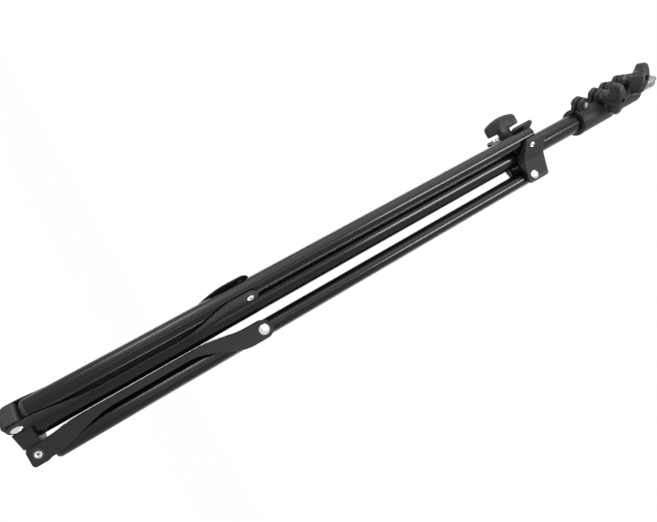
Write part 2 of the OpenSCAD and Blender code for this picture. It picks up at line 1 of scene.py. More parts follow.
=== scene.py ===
# The looks of a folded light stand: enamelled tubes, pressed stays, moulded clamps and wing knobs.
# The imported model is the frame. Sections follow the stand as it is put together, from its foot up.
import json
import math

import bmesh
import bpy
from mathutils import Matrix, Vector


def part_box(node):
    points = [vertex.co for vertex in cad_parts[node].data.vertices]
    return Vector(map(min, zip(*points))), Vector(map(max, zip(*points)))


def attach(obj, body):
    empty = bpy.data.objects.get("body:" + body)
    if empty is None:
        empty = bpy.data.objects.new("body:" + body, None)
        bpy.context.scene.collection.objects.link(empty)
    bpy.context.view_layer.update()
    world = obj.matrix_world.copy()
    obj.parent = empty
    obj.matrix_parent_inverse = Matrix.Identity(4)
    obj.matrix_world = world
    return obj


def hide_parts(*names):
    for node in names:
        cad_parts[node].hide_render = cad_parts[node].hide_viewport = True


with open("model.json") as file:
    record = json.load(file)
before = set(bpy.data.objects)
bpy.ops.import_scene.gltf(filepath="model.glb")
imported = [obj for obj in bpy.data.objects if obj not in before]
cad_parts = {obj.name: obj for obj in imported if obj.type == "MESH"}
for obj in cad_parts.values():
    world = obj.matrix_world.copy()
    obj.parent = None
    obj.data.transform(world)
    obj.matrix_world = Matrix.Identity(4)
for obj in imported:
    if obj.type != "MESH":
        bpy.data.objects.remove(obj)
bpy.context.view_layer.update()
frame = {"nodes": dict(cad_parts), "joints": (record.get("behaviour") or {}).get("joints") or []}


# Column tubes
# Three drawn steel tubes, each sliding in the next. They are black, enamelled after polishing, and
# fine lengthwise lines are rubbed into the enamel, most of all where the collar slides.
class Wire:
    """A value on its way from one node to the next, so that sums can be written out."""

    def __init__(self, graph, socket):
        self.graph = graph
        self.socket = socket

    def sum(self, operation, first, second=0.0):
        return self.graph.add("ShaderNodeMath", {"operation": operation}, {0: first, 1: second})

    def __add__(self, other):
        return self.sum("ADD", self, other)

    def __radd__(self, other):
        return self.sum("ADD", other, self)

    def __sub__(self, other):
        return self.sum("SUBTRACT", self, other)

    def __rsub__(self, other):
        return self.sum("SUBTRACT", other, self)

    def __mul__(self, other):
        return self.sum("MULTIPLY", self, other)

    def __rmul__(self, other):
        return self.sum("MULTIPLY", other, self)

    def __truediv__(self, other):
        return self.sum("DIVIDE", self, other)

    def __neg__(self):
        return self.sum("MULTIPLY", self, -1.0)

    def __pow__(self, other):
        return self.sum("POWER", self, other)

    def sine(self):
        return self.sum("SINE", self)

    def at_least(self, other):
        return self.sum("MAXIMUM", self, other)

    def at_most(self, other):
        return self.sum("MINIMUM", self, other)

    def is_above(self, other):
        """1 where this value is greater than the other, and 0 elsewhere."""
        return self.sum("GREATER_THAN", self, other)

    def is_below(self, other):
        """1 where this value is less than the other, and 0 elsewhere."""
        return self.sum("LESS_THAN", self, other)

    def ramp(self, low, high):
        """0 up to low, 1 from high on, with a smooth step between them."""
        return self.graph.add(
            "ShaderNodeMapRange", {"interpolation_type": "SMOOTHSTEP"}, {0: self, 1: low, 2: high}
        )


class Graph:
    """A node tree that is built one node at a time."""

    def __init__(self, tree):
        self.nodes = tree.nodes
        self.links = tree.links

    def add(self, kind, settings, sockets, out=0):
        """Adds a node, and returns the value that comes from this output of it, if it has any."""
        node = self.nodes.new(kind)
        for name, value in settings.items():
            setattr(node, name, value)
        for name, value in sockets.items():
            if isinstance(value, Wire):
                self.links.new(value.socket, node.inputs[name])
            else:
                node.inputs[name].default_value = value
        return Wire(self, node.outputs[out]) if node.outputs else None


class Finish(Graph):
    """The surface of a piece: one shader, and the nodes that vary it."""

    def __init__(self, name, metallic=0.0, gloss=0.5):
        self.material = bpy.data.materials.new(name)
        self.material.use_nodes = True
        super().__init__(self.material.node_tree)
        self.nodes.clear()
        self.shader = self.nodes.new("ShaderNodeBsdfPrincipled")
        self.shader.inputs["Metallic"].default_value = metallic
        self.shader.inputs["Specular IOR Level"].default_value = gloss
        shown = self.nodes.new("ShaderNodeOutputMaterial")
        self.links.new(self.shader.outputs[0], shown.inputs["Surface"])
        self.place = self.add("ShaderNodeTexCoord", {}, {}, "Object")

    def along(self, axis):
        """The X, Y or Z of the point, in metres."""
        return self.add("ShaderNodeSeparateXYZ", {}, {0: self.place}, axis)

    def cloud(self, grain, stretch=(1, 1, 1), detail=3.0, roughness=0.5):
        """Noise with grains this many metres wide, and longer along an axis with a low stretch."""
        place = self.add("ShaderNodeMapping", {}, {"Vector": self.place, "Scale": stretch})
        sockets = {"Vector": place, "Scale": 1 / grain, "Detail": detail, "Roughness": roughness}
        return self.add("ShaderNodeTexNoise", {}, sockets, "Fac")

    def blend(self, share, first, second):
        """A colour that goes from the first to the second as share goes from 0 to 1."""
        settings = {"data_type": "RGBA", "clamp_factor": True}
        return self.add("ShaderNodeMix", settings, {0: share, 6: first, 7: second}, 2)

    def wear(self, colour, roughness):
        """Gives the surface this colour and roughness."""
        self.links.new(colour.socket, self.shader.inputs["Base Color"])
        self.links.new(roughness.socket, self.shader.inputs["Roughness"])

    def relief(self, height, depth, strength=1.0):
        """Bumps of this depth in metres, where height goes from 0 to 1."""
        sockets = {"Height": height, "Distance": depth, "Strength": strength}
        normal = self.add("ShaderNodeBump", {}, sockets)
        self.links.new(normal.socket, self.shader.inputs["Normal"])

    def coat(self, *nodes):
        """Gives CAD nodes this finish."""
        for name in nodes:
            for place in frame["nodes"][name].material_slots:
                place.material = self.material


def tone(*levels):
    """The shader's colour for one grey, or for red, green and blue, in screen levels to 255."""
    levels = levels * 3 if len(levels) == 1 else levels
    return tuple(((v / 255 + 0.055) / 1.055) ** 2.4 for v in levels) + (1.0,)


enamel = Finish("black_tube_enamel", gloss=0.26)
peel = enamel.cloud(0.0022, detail=2.0)
smears = enamel.cloud(0.05, stretch=(1, 1, 0.25), detail=4.0, roughness=0.6)
rub_lines = enamel.cloud(0.0009, stretch=(1, 1, 0.012), detail=2.0).ramp(0.55, 0.75)
height = enamel.along("Z")
path_foot, path_top = (0.30, 0.40), (0.534, 0.538)
collar_path = height.ramp(*path_foot) * (1 - height.ramp(*path_top))
rubbed = rub_lines * (0.25 + 0.5 * collar_path)
enamel.wear(
    enamel.blend(rubbed * smears, tone(13, 13, 14), tone(40, 40, 43)),
    0.17 + 0.06 * smears + 0.05 * rubbed,
)
enamel.relief(peel * 0.7 + rub_lines * 0.3, depth=0.00003, strength=0.10)
enamel.coat("base_tube", "mid_tube", "top_tube")


# Foot plug and glide bushes
# Injection-moulded nylon: a cup-shaped plug in the foot of the base tube and a collared bush on the
# foot of each inner tube. They are pressed in, and their faces keep a faint flow pattern.
nylon = Finish("dark_nylon", gloss=0.35)
flow = nylon.cloud(0.006, stretch=(1, 1, 0.4), detail=4.0, roughness=0.6)
pores = nylon.cloud(0.0005, detail=1.0)
nylon.wear(nylon.blend(flow, tone(34, 35, 37), tone(46, 47, 49)), 0.42 + 0.12 * flow)
nylon.relief(pores, depth=0.00002, strength=0.5)
nylon.coat("base_plug", "mid_tube_bush", "top_tube_bush")


# Spider
# The lower hub, glass-filled nylon moulded in one piece: a ring on the foot of the base tube, a
# rounded lug for each stay, and walls over shallow arches between the lugs. It has a fine moulded
# grain, and its edges are broken by a small radius.
same_point = 0.000002
rivet_seat = 0.0097


def merge(form):
    """Joins the points of a bmesh that lie on each other, which takes away its flat faces."""
    bmesh.ops.remove_doubles(form, verts=form.verts, dist=same_point)
    bmesh.ops.dissolve_degenerate(form, edges=form.edges, dist=same_point)


def placed(name, data):
    """A new object in the scene for a mesh, a lamp or a camera."""
    thing = bpy.data.objects.new(name, data)
    bpy.context.scene.collection.objects.link(thing)
    return thing


def plain_mesh(piece):
    """Puts the mesh that a piece's modifiers make in their place, and returns it."""
    scene_state = bpy.context.evaluated_depsgraph_get()
    finished = bpy.data.meshes.new_from_object(piece.evaluated_get(scene_state))
    piece.modifiers.clear()
    piece.data = finished
    return finished


def settle(piece, body, slot, *nodes):
    """Puts a finished piece on its body, in place of the CAD nodes that it stands for."""
    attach(piece, body)
    if nodes:
        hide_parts(*nodes)


def rounded(node, radius, segments, finish, shape=None):
    """A copy of a CAD node's mesh with its doubles merged, reshaped, and its edges rounded."""
    source = frame["nodes"][node].data
    mesh = bpy.data.meshes.new(node + "_rounded")
    mesh.from_pydata([v.co for v in source.vertices], [], [p.vertices for p in source.polygons])
    form = bmesh.new()
    form.from_mesh(mesh)
    bmesh.ops.remove_doubles(form, verts=form.verts, dist=same_point)
    bmesh.ops.dissolve_limit(
        form, angle_limit=math.radians(0.5), verts=form.verts, edges=form.edges
    )
    if shape:
        shape(form)
    form.to_mesh(mesh)
    form.free()
    for face in mesh.polygons:
        face.use_smooth = True
    piece = placed(node + "_rounded", mesh)
    edges = piece.modifiers.new("edges", "BEVEL")
    edges.width = radius
    edges.segments = segments
    edges.limit_method = "ANGLE"
    edges.angle_limit = math.radians(30)
    edges.use_clamp_overlap = False
    faces = piece.modifiers.new("faces", "WEIGHTED_NORMAL")
    faces.keep_sharp = True
    finished = plain_mesh(piece)
    form = bmesh.new()
    form.from_mesh(finished)
    merge(form)
    form.to_mesh(finished)
    form.free()
    finished.materials.clear()
    finished.materials.append(finish.material)
    return piece


moulded = Finish("moulded_black_nylon", gloss=0.22)
grain = moulded.cloud(0.00055, detail=2.0)
mottle = moulded.cloud(0.012, detail=4.0, roughness=0.6)
moulded.wear(
    moulded.blend(mottle, tone(30, 30, 32), tone(42, 42, 44)), 0.40 + 0.10 * mottle + 0.06 * grain
)
moulded.relief(grain, depth=0.00004, strength=0.6)


def beside_arm(radial, lateral):
    """A point beside an arm, seen from the middle of the gap between that arm and the next."""
    half_gap = math.radians(60)
    reach, angle = math.hypot(radial, lateral), math.atan2(lateral, radial) - half_gap
    return Vector((reach * math.cos(angle), reach * math.sin(angle)))


def skin(form, low, high):
    """Adds the faces between one ring of points and the next."""
    count = len(low)
    for i in range(count):
        form.faces.new((low[i], low[(i + 1) % count], high[(i + 1) % count], high[i]))


def wall(form, middle, half, low, high, arch=0.0):
    """Adds a wall between two arms, from half its outline and the mirror image, over an arch."""
    buried = 0.0129
    outline = [(buried, 0.0)] + [(x, y) for x, y in half] + [(x, -y) for x, y in reversed(half)]
    turn = math.radians(middle)
    wide = max(abs(y) for x, y in outline)
    rows = []
    for level, rise in ((low, arch), (high, 0.0)):
        rows.append([
            form.verts.new((
                x * math.cos(turn) - y * math.sin(turn), x * math.sin(turn) + y * math.cos(turn),
                level + rise * (1 - (y / wide) ** 2),
            ))
            for x, y in outline
        ])
    form.faces.new(reversed(rows[0]))
    form.faces.new(rows[1])
    skin(form, *rows)


def flush_walls(form):
    """Fills the spider's gaps up to the faces that its rivets sit on, over an arch."""
    low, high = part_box("spider")
    root, tip, inside = 0.0120, 0.0146, 0.0080
    crest, arch, below_top, steps = 0.0157, 0.0022, 0.0001, 6
    corner = beside_arm(tip, rivet_seat)
    half = [beside_arm(root, inside), beside_arm(tip, inside), corner]
    half += [corner.lerp(Vector((crest, 0.0)), step / steps) for step in range(1, steps)]
    for middle in (60, 180, 300):
        wall(form, middle, half, low.z, high.z - below_top, arch)


spider = rounded("spider", radius=0.0006, segments=3, finish=moulded, shape=flush_walls)
settle(spider, "column", "moulded_black", "spider")


# Rivets
# Nickel-plated tubular rivets through the spider, the stays' upper ears and the collar's cheeks.
# They have a domed head on one side, and on the other a tail rolled outwards, whose hollow middle
# is not modelled but painted dark as painted shade. One recipe makes all of them.
class Recipe(Graph):
    """A Geometry Nodes tree with named sizes, which turns marked points into solid pieces."""

    def __init__(self, name, sizes):
        self.tree = bpy.data.node_groups.new(name, "GeometryNodeTree")
        super().__init__(self.tree)
        face = self.tree.interface
        face.new_socket("Geometry", in_out="INPUT", socket_type="NodeSocketGeometry")
        self.names = {}
        for size, value in sizes.items():
            socket = face.new_socket(size, in_out="INPUT", socket_type="NodeSocketFloat")
            socket.default_value = value
            self.names[size] = socket.identifier
        face.new_socket("Geometry", in_out="OUTPUT", socket_type="NodeSocketGeometry")
        self.start = self.nodes.new("NodeGroupInput")

    def given(self, name):
        """One of the sizes, or the points under the name Geometry."""
        return Wire(self, self.start.outputs[name])

    def point(self, axis):
        """The X, Y or Z of each point of the mesh that is being shaped."""
        place = self.add("GeometryNodeInputPosition", {}, {})
        return self.add("ShaderNodeSeparateXYZ", {}, {0: place}, axis)

    def vector(self, x, y, z):
        return self.add("ShaderNodeCombineXYZ", {}, {0: x, 1: y, 2: z})

    def round_bar(self, radius, length, sides, rings, middle):
        """A closed bar along Z, its ends laid in rings, with its middle at this height."""
        sockets = {"Vertices": sides, "Fill Segments": rings, "Radius": radius, "Depth": length}
        bar = self.add("GeometryNodeMeshCylinder", {}, sockets, "Mesh")
        lift = self.vector(0.0, 0.0, middle)
        return self.add("GeometryNodeTransform", {}, {"Geometry": bar, "Translation": lift})

    def raised(self, bar, chosen, rise):
        """The bar with its chosen points moved up by this rise."""
        sockets = {"Geometry": bar, "Selection": chosen, "Offset": self.vector(0.0, 0.0, rise)}
        return self.add("GeometryNodeSetPosition", {}, sockets)

    def end(self, shape, finish):
        """Makes the instances real, gives them their finish and closes the tree."""
        real = self.add("GeometryNodeRealizeInstances", {}, {0: shape})
        painted = self.add("GeometryNodeSetMaterial", {}, {0: real, "Material": finish.material})
        self.add("NodeGroupOutput", {}, {0: painted})

    def make(self, name, points, marks, sizes, crease=35):
        """Runs the recipe on points that carry the given marks, and returns a plain mesh object."""
        mesh = bpy.data.meshes.new(name)
        mesh.from_pydata(points, [], [])
        for mark, values in marks.items():
            layer = mesh.attributes.new(mark, "FLOAT", "POINT")
            layer.data.foreach_set("value", values)
        piece = placed(name, mesh)
        step = piece.modifiers.new("recipe", "NODES")
        step.node_group = self.tree
        for size, value in sizes.items():
            step[self.names[size]] = value
        smooth(plain_mesh(piece), crease)
        return piece


def smooth(mesh, degrees):
    """Smooth faces, with a crease where two meet at more than this angle."""
    for face in mesh.polygons:
        face.use_smooth = True
    mesh.set_sharp_from_angle(angle=math.radians(degrees))


nickel = Finish("rivet_nickel_plate", metallic=1.0)
polish = nickel.cloud(0.0012, detail=3.0, roughness=0.6)
# The tail's middle is painted dark grey and rougher, as painted shade for the rivet's hollow.
sunk = nickel.add("ShaderNodeAttribute", {"attribute_name": "sunk"}, {}, "Fac")
plated = nickel.blend(polish, tone(196, 196, 198), tone(228, 228, 230))
nickel.wear(nickel.blend(sunk, plated, tone(48, 48, 50)), 0.16 + 0.14 * polish + 0.4 * sunk)
nickel.relief(polish, depth=0.00002, strength=0.4)

rivet = Recipe(
    "rivet",
    {
        "Shank": 0.0024, "Head": 0.005, "Head height": 0.0024, "Head rim": 0.0005,
        "Tail": 0.0035, "Tail height": 0.0012, "Seat": rivet_seat, "Gap": 0.0,
    },
)
seat = rivet.given("Seat")
gap = rivet.given("Gap")
rim = rivet.given("Head rim")
across = (rivet.point("X") ** 2.0 + rivet.point("Y") ** 2.0) ** 0.5
head = rivet.round_bar(rivet.given("Head"), rim, sides=28, rings=6, middle=seat + rim / 2.0)
crown = (rivet.given("Head height") - rim) * (1 - (across / rivet.given("Head")) ** 2.0)
head = rivet.raised(head, rivet.point("Z").is_above(seat + rim / 2.0), crown)

plate_share, ring_share = 0.4, 0.6
ring_middle, ring_half = 0.77, 0.26
rolled = rivet.given("Tail height")
plate_middle = -seat - rolled * (plate_share / 2)
plate = rolled * plate_share
tail = rivet.round_bar(rivet.given("Tail"), plate, sides=28, rings=7, middle=plate_middle)
from_ring = (across / rivet.given("Tail") - ring_middle) / ring_half
ring = (1 - from_ring ** 2.0).at_least(0.0) * rolled * ring_share
tail = rivet.raised(tail, rivet.point("Z").is_below(plate_middle), -ring)
# Painted shade for the hollow middle of the rolled tail, darkest at its centre.
hollow_shade = 1 - (across / rivet.given("Tail")).ramp(0.22, 0.50)
tail = rivet.add(
    "GeometryNodeStoreNamedAttribute", {"data_type": "FLOAT", "domain": "POINT"},
    {"Geometry": tail, "Name": "sunk", "Value": hollow_shade},
)
whole = rivet.nodes.new("GeometryNodeJoinGeometry")
rivet.links.new(head.socket, whole.inputs[0])
rivet.links.new(tail.socket, whole.inputs[0])
for way in (-1, 1):
    halfway = (seat + gap) * 0.5 * way
    shank = rivet.round_bar(rivet.given("Shank"), seat - gap, sides=24, rings=1, middle=halfway)
    rivet.links.new(shank.socket, whole.inputs[0])
turn = rivet.add("GeometryNodeInputNamedAttribute", {"data_type": "FLOAT"}, {"Name": "turn"})
side = rivet.add("GeometryNodeInputNamedAttribute", {"data_type": "FLOAT"}, {"Name": "side"})
facing = rivet.add(
    "FunctionNodeEulerToRotation", {}, {0: rivet.vector(side * (-math.pi / 2), 0.0, turn)}
)
spread = rivet.add(
    "GeometryNodeInstanceOnPoints", {},
    {
        "Points": rivet.given("Geometry"), "Instance": Wire(rivet, whole.outputs[0]),
        "Rotation": facing,
    },
)
rivet.end(spread, nickel)


def rivets(name, pins, angles, side, sizes):
    """A rivet at each pin, turned to its arm's angle, with its head on side 1 or -1 of the arm."""
    return rivet.make(name, pins, {"turn": angles, "side": [side] * len(pins)}, sizes)


joints = {joint["name"]: joint for joint in frame["joints"]}
arms = {"a": math.radians(0), "b": math.radians(240), "c": math.radians(120)}
all_round = list(arms.values())
spider_pins = [joints["stay_%s_hinge" % arm]["pos_m"] for arm in arms]
spider_rivets = rivets(
    "spider_rivet_set", spider_pins, all_round, 1.0, {"Head": 0.0045, "Tail": 0.0030}
)
settle(spider_rivets, "column", "rivet_nickel", "spider_rivets")
for arm, angle in arms.items():
    pin = joints["leg_%s_hinge" % arm]["pos_m"]
    stay_rivet = rivets("stay_rivet_" + arm, [pin], [angle], -1.0, {})
    settle(stay_rivet, "leg_%s_arm" % arm, "rivet_nickel", "mid_rivet_" + arm)


# Stays
# Three channels pressed from 1.2 mm steel: two flanges astride the leg, a web towards the column,
# round ears at both ends. They have a satin black coat, rubbed in a ring round each rivet's tail.
satin = Finish("satin_black_stay", gloss=0.2)
blotch = satin.cloud(0.009, stretch=(1, 1, 0.5), detail=4.0, roughness=0.6)
spray = satin.cloud(0.0007, detail=2.0)
draw = satin.cloud(0.0006, stretch=(1, 1, 0.03), detail=2.0)
flange_offset = 0.0091
out_along_arm = (
    satin.along("X") ** 2.0 + satin.along("Y") ** 2.0 - flange_offset**2
).at_least(0.0) ** 0.5
from_pivots = []
for hinge in ("stay_a_hinge", "leg_a_hinge"):
    pivot = Vector(joints[hinge]["pos_m"])
    apart = (out_along_arm - pivot.x) ** 2.0 + (satin.along("Z") - pivot.z) ** 2.0
    from_pivots.append(apart ** 0.5)
ear = from_pivots[0].at_most(from_pivots[1])
ring_inside, ring_outside = (0.0028, 0.0032), (0.0036, 0.0046)
ring_rub = ear.ramp(*ring_inside) * (1 - ear.ramp(*ring_outside)) * (0.4 + spray)
satin.wear(
    satin.blend(
        ring_rub * 0.3,
        satin.blend(blotch, tone(27, 27, 29), tone(40, 40, 42)),
        tone(120, 120, 124),
    ),
    0.42 + 0.10 * blotch - 0.08 * ring_rub,
)
satin.relief(spray * 0.7 + draw * 0.3, depth=0.00003, strength=0.5)
for arm in arms:
    stay = rounded("stay_" + arm, radius=0.0004, segments=2, finish=satin)
    settle(stay, "stay_%s_arm" % arm, "stay_black", "stay_" + arm)


# Legs
# Three welded steel tubes with the column's gloss black enamel, each closed at its foot by a
# rounded nylon cap, which is scuffed where it stands on the ground.
enamel.coat("leg_a", "leg_b", "leg_c")
foot = Finish("foot_nylon", gloss=0.35)
scuff = foot.cloud(0.0016, detail=4.0, roughness=0.7)
cap_foot, scuff_height = 0.0175, 0.002
ground = 1 - foot.along("Z").ramp(cap_foot, cap_foot + scuff_height)
scuffed = ground * scuff.ramp(0.45, 0.7)
foot.wear(foot.blend(scuffed, tone(36, 37, 39), tone(88, 87, 84)), 0.42 + 0.3 * scuffed)
foot.relief(scuff, depth=0.00005, strength=0.5)
foot.coat("leg_cap_a", "leg_cap_b", "leg_cap_c")


# Sliding collar
# Moulded like the spider: a barrel that slides on the base tube, a boss with the locking knob's
# bolt, and a pair of cheeks for each leg, whose outer faces flare to a crease halfway to the next
# pair. Tubular rivets, left short inside the cheeks, carry the legs.
def folded_walls(form):
    """Adds walls that flare from each cheek to a crease halfway to the next, past the barrel."""
    low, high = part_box("collar")
    cheek, inside_cheek, tip, root = 0.0115, 0.0102, 0.0305, 0.013
    clear_of_face, blunt = 0.00002, 0.96
    start = beside_arm(tip, cheek - clear_of_face)
    half = [beside_arm(root, inside_cheek), beside_arm(tip, inside_cheek), start]
    for middle, crease in ((60, 0.0208), (180, 0.0184), (300, 0.0208)):
        edge = start.lerp(Vector((crease, 0.0)), blunt)
        wall(form, middle, half + [edge], low.z, high.z)


collar = rounded("collar", radius=0.0006, segments=3, finish=moulded, shape=folded_walls)
settle(collar, "sliding_collar", "moulded_black", "collar")
rivets_low, rivets_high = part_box("collar_rivets")
pin_reach, pin_height = 0.0274, (rivets_low.z + rivets_high.z) / 2
pins = [(pin_reach * math.cos(t), pin_reach * math.sin(t), pin_height) for t in all_round]
sizes = {
    "Seat": 0.0121, "Head rim": 0.0010, "Head height": 0.0028, "Tail": 0.0032,
    "Tail height": 0.0018, "Gap": 0.0083,
}
short_rivets = rivets("collar_rivet_set", pins, all_round, -1.0, sizes)
settle(short_rivets, "sliding_collar", "rivet_nickel", "collar_rivets")

pad = Finish("brake_pad_acetal", gloss=0.35)
rubbing = pad.cloud(0.0008, stretch=(1, 1, 0.1), detail=3.0)
pad.wear(pad.blend(rubbing, tone(112, 98, 78), tone(138, 124, 100)), 0.5 + 0.15 * rubbing)
pad.relief(rubbing, depth=0.00004, strength=0.5)
pad.coat("collar_brake_pad")


# Wing knobs
# Three knobs moulded on steel bolts: a round stem, and two wings under an arched crown with a
# dimple. Every edge is well rounded for the fingers, which have polished the nylon in patches.
def closed_skin(name, rings, finish):
    """A closed mesh over rings of points, from the middle of one end to the middle of the other."""
    form = bmesh.new()
    rows = [[form.verts.new(point) for point in ring] for ring in rings]
    for low, high in zip(rows, rows[1:]):
        skin(form, low, high)
    for row in (rows[0], rows[-1]):
        count = len(row)
        middle = form.verts.new(sum((v.co for v in row), Vector()) / count)
        for i in range(count):
            form.faces.new((middle, row[i], row[(i + 1) % count]))
    merge(form)
    bmesh.ops.recalc_face_normals(form, faces=form.faces)
    mesh = bpy.data.meshes.new(name)
    form.to_mesh(mesh)
    form.free()
    mesh.materials.append(finish.material)
    return placed(name, mesh)


def wing_outline(span, tip_width, mid_width, count):
    """Points round the wings, seen from above, with the outward direction at each."""
    tip = (span - tip_width) / 2
    points = []
    for end in (1, -1):
        for i in range(count):
            angle = math.pi * (i / (count - 1) - 0.5)
            x = tip + tip_width / 2 * math.cos(angle)
            points.append((end * x, end * tip_width / 2 * math.sin(angle)))
        for i in range(1, count):
            x = tip * (1 - 2 * i / count)
            edge = mid_width / 2 + (tip_width - mid_width) / 2 * abs(x) / tip
            bulge = math.sqrt(max((mid_width / 2) ** 2 - x * x, 0.0))
            points.append((end * x, end * max(edge, bulge)))
    total = len(points)
    outward = []
    for i in range(total):
        before, after = points[i - 1], points[(i + 1) % total]
        run = Vector((after[0] - before[0], after[1] - before[1])).normalized()
        outward.append((run.y, -run.x))
    return points, outward


def quarter_turn(steps):
    """Angles from 0 to a right angle, in equal steps."""
    return [math.pi / 2 * step / steps for step in range(steps + 1)]


def wing_knob(name, stem, stem_height, bolt, foot_point, up, wings, finish):
    """A wing knob with the foot of its stem at foot_point. Its sizes are in metres."""
    span, tip_width, mid_width = 0.036, 0.0084, 0.013
    crown, tip_height = 0.0155, 0.011
    top_edge, under_edge, under_fade = 0.0026, 0.0015, 0.004
    stem_edge, stem_neck, bolt_gap, bolt_cover = 0.0004, 0.0006, 0.00005, 0.0015
    dimple, dimple_depth, dimple_corner = 0.0028, 0.004, 0.0006
    mouth_edge, mouth_round = 0.0005, 0.00015
    points, outward = wing_outline(span, tip_width, mid_width, count=17)
    rise = crown - tip_height
    arch = ((span / 2) ** 2 + rise**2) / (2 * rise)
    top = stem_height + crown
    bottom = top - dimple_depth

    def drawn_in(inset, level):
        """The outline drawn in by an inset, at a level, which both depend on x."""
        ring = []
        for (x, y), (nx, ny) in zip(points, outward):
            px, py = x - nx * inset(x), y - ny * inset(x)
            ring.append((px, py, level(px)))
        return ring

    def circle(radius, height):
        """As many points as the outline has, on a circle."""
        ring = []
        for x, y in points:
            angle = math.atan2(y, x)
            ring.append((radius * math.cos(angle), radius * math.sin(angle), height))
        return ring

    def under(x):
        """Radius of the lower edge, which fades out where the stem is wider than the wings."""
        if stem < mid_width / 2:
            return under_edge
        return under_edge * min(max((abs(x) - stem) / under_fade, 0.0), 1.0)

    def roof(x):
        """Height of the arched crown."""
        return top - arch + math.sqrt(arch * arch - x * x)

    bore = bolt + bolt_gap
    rings = [circle(bore, bottom - bolt_cover), circle(bore, 0.0)]
    rings += [circle(stem - stem_edge, 0.0), circle(stem, stem_edge)]
    rings.append(circle(stem, stem_height - stem_neck))
    for a in quarter_turn(3):
        rings.append(
            drawn_in(lambda x: under(x) * (1 - math.sin(a)),
                     lambda x: stem_height + under(x) * (1 - math.cos(a)))
        )
    for a in quarter_turn(5):
        rings.append(
            drawn_in(lambda x: top_edge * (1 - math.cos(a)),
                     lambda x: roof(x) - top_edge * (1 - math.sin(a)))
        )
    inner = rings[-1]
    mouth = [(x, y, roof(x)) for x, y, z in circle(dimple + mouth_edge, 0.0)]
    for step in range(1, 4):
        share = step / 3
        rings.append([
            (a[0] + (b[0] - a[0]) * share, a[1] + (b[1] - a[1]) * share,
             roof(a[0] + (b[0] - a[0]) * share))
            for a, b in zip(inner, mouth)
        ])
    rings += [circle(dimple + mouth_round, top - mouth_round), circle(dimple, top - mouth_edge)]
    rings.append(circle(dimple, bottom + dimple_corner))
    rings.append(circle(dimple - dimple_corner, bottom))
    piece = closed_skin(name, rings, finish)
    side_way = up.cross(wings)
    stand = Matrix((wings, side_way, up)).transposed().to_4x4()
    piece.data.transform(Matrix.Translation(foot_point) @ stand)
    smooth(piece.data, 50)
    return piece


knob_black = Finish("knob_black_nylon", gloss=0.24)
touch = knob_black.cloud(0.005, detail=4.0, roughness=0.6)
knob_grain = knob_black.cloud(0.0005, detail=2.0)
knob_black.wear(
    knob_black.blend(touch, tone(31, 31, 33), tone(44, 44, 46)), 0.32 + 0.14 * touch
)
knob_black.relief(knob_grain, depth=0.00003, strength=0.5)

boss_face = -0.0212
lock = joints["collar_knob_turn"]
lean = math.radians(28)
knob = wing_knob(
    "collar_wing_knob", stem=0.0072, stem_height=0.0095, bolt=0.004,
    foot_point=Vector((boss_face, 0.0, lock["pos_m"][2])), up=Vector((-1, 0, 0)),
    wings=Vector((0, -math.sin(lean), math.cos(lean))), finish=knob_black,
)
settle(knob, "collar_lock", "moulded_black", "collar_knob")
ear_face = 0.0077
for clamp, wing_turn in (("clamp_1", 0.0), ("clamp_2", math.radians(-32))):
    lock = joints[clamp + "_knob_turn"]
    up = Vector(lock["axis"])
    bolt_at = Vector(lock["pos_m"])
    radial = Vector((bolt_at.x, bolt_at.y, 0)).normalized()
    knob = wing_knob(
        clamp + "_wing_knob", stem=0.0075, stem_height=0.010, bolt=0.003,
        foot_point=bolt_at + up * ear_face, up=up,
        wings=radial * math.cos(wing_turn) - Vector((0, 0, math.sin(wing_turn))), finish=knob_black,
    )
    settle(knob, clamp + "_lock", "moulded_black", clamp + "_knob")


# Clamps
# Two split sleeves, moulded like the collar, each fixed on the wider tube by a bolt with its nut
# and locked on the narrower one by a wing knob's bolt through a second pair of ears. The bolts are
# zinc plated, and the heads and nuts of the fixing bolts have gone dark.
def short_foot(form):
    """Draws the lower clamp's foot up to its ears, and its lip in, as on the real sleeve."""
    ears_foot, drawn_up, lip, lip_step = 0.642, 0.007, 0.0156, 0.0001
    for vert in form.verts:
        if vert.co.z < ears_foot:
            vert.co.z += drawn_up
            reach = math.hypot(vert.co.x, vert.co.y)
            if reach > lip - lip_step:
                vert.co.x *= lip / reach
                vert.co.y *= lip / reach


for clamp, body, shape in (("clamp_1", "column", short_foot), ("clamp_2", "middle_section", None)):
    sleeve = rounded(clamp + "_body", radius=0.0005, segments=3, finish=moulded, shape=shape)
    settle(sleeve, body, "moulded_black", clamp + "_body")

